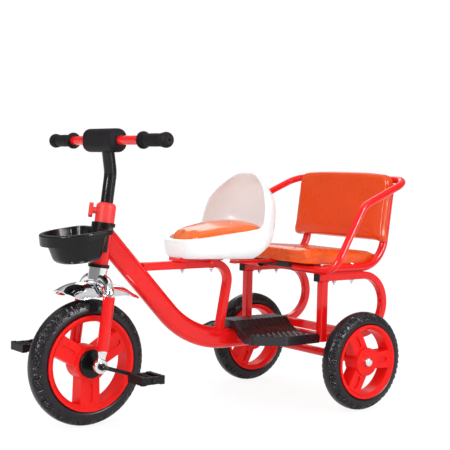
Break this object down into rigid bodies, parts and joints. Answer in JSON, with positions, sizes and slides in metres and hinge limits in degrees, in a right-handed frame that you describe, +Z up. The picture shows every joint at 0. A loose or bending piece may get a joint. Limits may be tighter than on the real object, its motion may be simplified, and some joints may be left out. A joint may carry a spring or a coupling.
{
  "type": "two-seat child's tricycle",
  "caption": "Child's tandem tricycle with a pedalled and steered front wheel, front basket, bucket seat, and a cushioned rear bench with armrests and footboard.",
  "frame": {"origin": "on the floor under the middle of the vehicle's length and width", "axes": "+X forward, the way it rides, +Y to the rider's left, +Z up"},
  "size_m": [1.006, 0.5256, 0.7013],
  "materials": {
    "red_paint": "gloss",
    "red_plastic": "gloss",
    "chrome_plate": "polished",
    "zinc_plate": "satin",
    "black_plastic": "satin",
    "white_plastic": "gloss",
    "orange_vinyl": "smooth",
    "foam_tyre": "matt",
    "foam_grip": "matt",
    "board": "matt"
  },
  "bodies": {
    "frame": {"main_tube": "red_paint", "top_tube": "red_paint", "head_tube": "red_paint", "head_cups": "chrome_plate", "side_frame_left": "red_paint", "side_frame_right": "red_paint", "cross_bar_upper": "red_paint", "cross_bar_lower": "red_paint", "cross_bar_rear": "red_paint", "rear_axle_tube": "red_paint", "rear_axle": "zinc_plate", "axle_nuts": "chrome_plate", "seat_upright_left": "red_paint", "seat_upright_right": "red_paint", "backrest_board": "board", "backrest_cushion": "orange_vinyl", "armrest_hoop": "red_paint", "tube_plugs": "black_plastic", "rear_seat_base": "board", "rear_seat_cushion": "orange_vinyl", "front_seat_bracket": "red_paint", "tie_bar": "red_paint", "front_seat_shell": "white_plastic", "front_seat_cushion": "orange_vinyl", "footboard": "black_plastic"},
    "steering": {"fork": "chrome_plate", "fork_sleeve_left": "red_paint", "fork_sleeve_right": "red_paint", "dropout_left": "zinc_plate", "dropout_right": "zinc_plate", "mudguard": "chrome_plate", "clamp_collar": "red_plastic", "clamp_knob": "red_plastic", "basket": "black_plastic"},
    "handlebar_set": {"stem": "black_plastic", "handlebar": "red_paint", "grip_left": "foam_grip", "grip_right": "foam_grip", "handlebar_pad": "foam_grip"},
    "front_wheel": {"front_tyre": "foam_tyre", "front_rim": "red_plastic", "front_hub_flanges": "black_plastic", "crank_axle": "zinc_plate"},
    "left_pedal": {"pedal_left": "black_plastic"},
    "right_pedal": {"pedal_right": "black_plastic"},
    "rear_wheel_left": {"rear_tyre_left": "foam_tyre", "rear_rim_left": "red_plastic"},
    "rear_wheel_right": {"rear_tyre_right": "foam_tyre", "rear_rim_right": "red_plastic"}
  },
  "joints": [
    {"name": "steering_turn", "type": "hinge", "parent": "frame", "child": "steering", "pos_m": [0.353, 0, 0.15], "axis": [-0.1305, 0, 0.9914], "range_deg": [-45, 45]},
    {"name": "handlebar_height", "type": "slide", "parent": "steering", "child": "handlebar_set", "axis": [-0.1305, 0, 0.9914], "range_m": [-0.04, 0.02]},
    {"name": "front_wheel_turn", "type": "hinge", "parent": "steering", "child": "front_wheel", "pos_m": [0.353, 0, 0.15], "axis": [0, 1, 0], "continuous": true},
    {"name": "pedal_left_turn", "type": "hinge", "parent": "front_wheel", "child": "left_pedal", "pos_m": [0.2643, 0.123, 0.12203], "axis": [0, 1, 0], "continuous": true},
    {"name": "pedal_right_turn", "type": "hinge", "parent": "front_wheel", "child": "right_pedal", "pos_m": [0.4417, -0.123, 0.17797], "axis": [0, 1, 0], "continuous": true},
    {"name": "rear_wheel_left_turn", "type": "hinge", "parent": "frame", "child": "rear_wheel_left", "pos_m": [-0.324, 0.23, 0.126], "axis": [0, 1, 0], "continuous": true},
    {"name": "rear_wheel_right_turn", "type": "hinge", "parent": "frame", "child": "rear_wheel_right", "pos_m": [-0.324, -0.23, 0.126], "axis": [0, 1, 0], "continuous": true}
  ]
}
